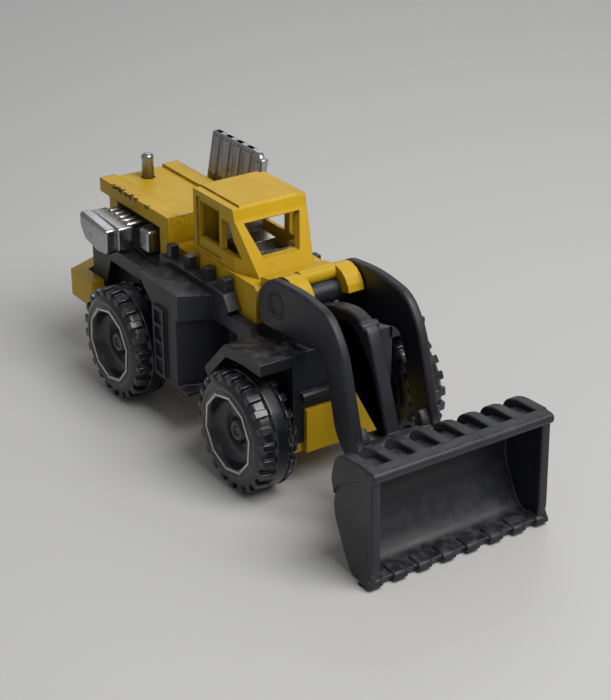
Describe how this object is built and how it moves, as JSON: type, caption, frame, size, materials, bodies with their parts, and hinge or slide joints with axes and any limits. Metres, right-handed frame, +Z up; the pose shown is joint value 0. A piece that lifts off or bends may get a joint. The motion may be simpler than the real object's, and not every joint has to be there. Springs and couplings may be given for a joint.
{
  "type": "toy front loader",
  "caption": "Small die-cast toy wheel loader with a lifting arm frame, a dumping toothed bucket and free-rolling treaded wheels.",
  "frame": {"origin": "centre of the bounding box's bottom face, on the ground plane the wheels and bucket rest on", "axes": "+X along the vehicle towards the bucket, +Y to the driver's left along the axles, +Z up"},
  "size_m": [0.079, 0.0292, 0.0323],
  "materials": {
    "yellow_paint": "glossy, chipped at edges",
    "yellow_plastic": "satin",
    "black_plastic": "satin",
    "loader_black": "satin, scuffed",
    "chrome_plate": "bright, worn",
    "axle_steel": "drawn wire",
    "rivet_metal": "painted, spun head bare at its rim",
    "tyre_black": "glossy",
    "ring_silver": "hot-stamped silver"
  },
  "bodies": {
    "chassis": {"body_shell": "yellow_paint", "mid_frame": "black_plastic", "base_plate": "yellow_plastic", "engine_insert": "chrome_plate", "cab_interior": "chrome_plate", "front_axle_wire": "axle_steel", "rear_axle_wire": "axle_steel", "front_rivet": "rivet_metal", "rear_rivet": "rivet_metal"},
    "lift_arms": {"loader_arms": "loader_black", "arm_pivot_shaft": "loader_black"},
    "bucket": {"bucket": "loader_black"},
    "wheel_front_left": {"wheel_front_left": "tyre_black", "rim_ring_front_left": "ring_silver"},
    "wheel_front_right": {"wheel_front_right": "tyre_black", "rim_ring_front_right": "ring_silver"},
    "wheel_rear_left": {"wheel_rear_left": "tyre_black", "rim_ring_rear_left": "ring_silver"},
    "wheel_rear_right": {"wheel_rear_right": "tyre_black", "rim_ring_rear_right": "ring_silver"}
  },
  "joints": [
    {"name": "arm_lift", "type": "hinge", "parent": "chassis", "child": "lift_arms", "pos_m": [0.0089, 0, 0.0233], "axis": [0, -1, 0], "range_deg": [0, 50]},
    {"name": "bucket_tilt", "type": "hinge", "parent": "lift_arms", "child": "bucket", "pos_m": [0.0278, 0, 0.007], "axis": [0, -1, 0], "range_deg": [-45, 0]},
    {"name": "front_left_spin", "type": "hinge", "parent": "chassis", "child": "wheel_front_left", "pos_m": [0.01, 0.0115, 0.008], "axis": [0, 1, 0], "continuous": true},
    {"name": "front_right_spin", "type": "hinge", "parent": "chassis", "child": "wheel_front_right", "pos_m": [0.01, -0.0115, 0.008], "axis": [0, 1, 0], "continuous": true},
    {"name": "rear_left_spin", "type": "hinge", "parent": "chassis", "child": "wheel_rear_left", "pos_m": [-0.021, 0.0115, 0.008], "axis": [0, 1, 0], "continuous": true},
    {"name": "rear_right_spin", "type": "hinge", "parent": "chassis", "child": "wheel_rear_right", "pos_m": [-0.021, -0.0115, 0.008], "axis": [0, 1, 0], "continuous": true}
  ]
}
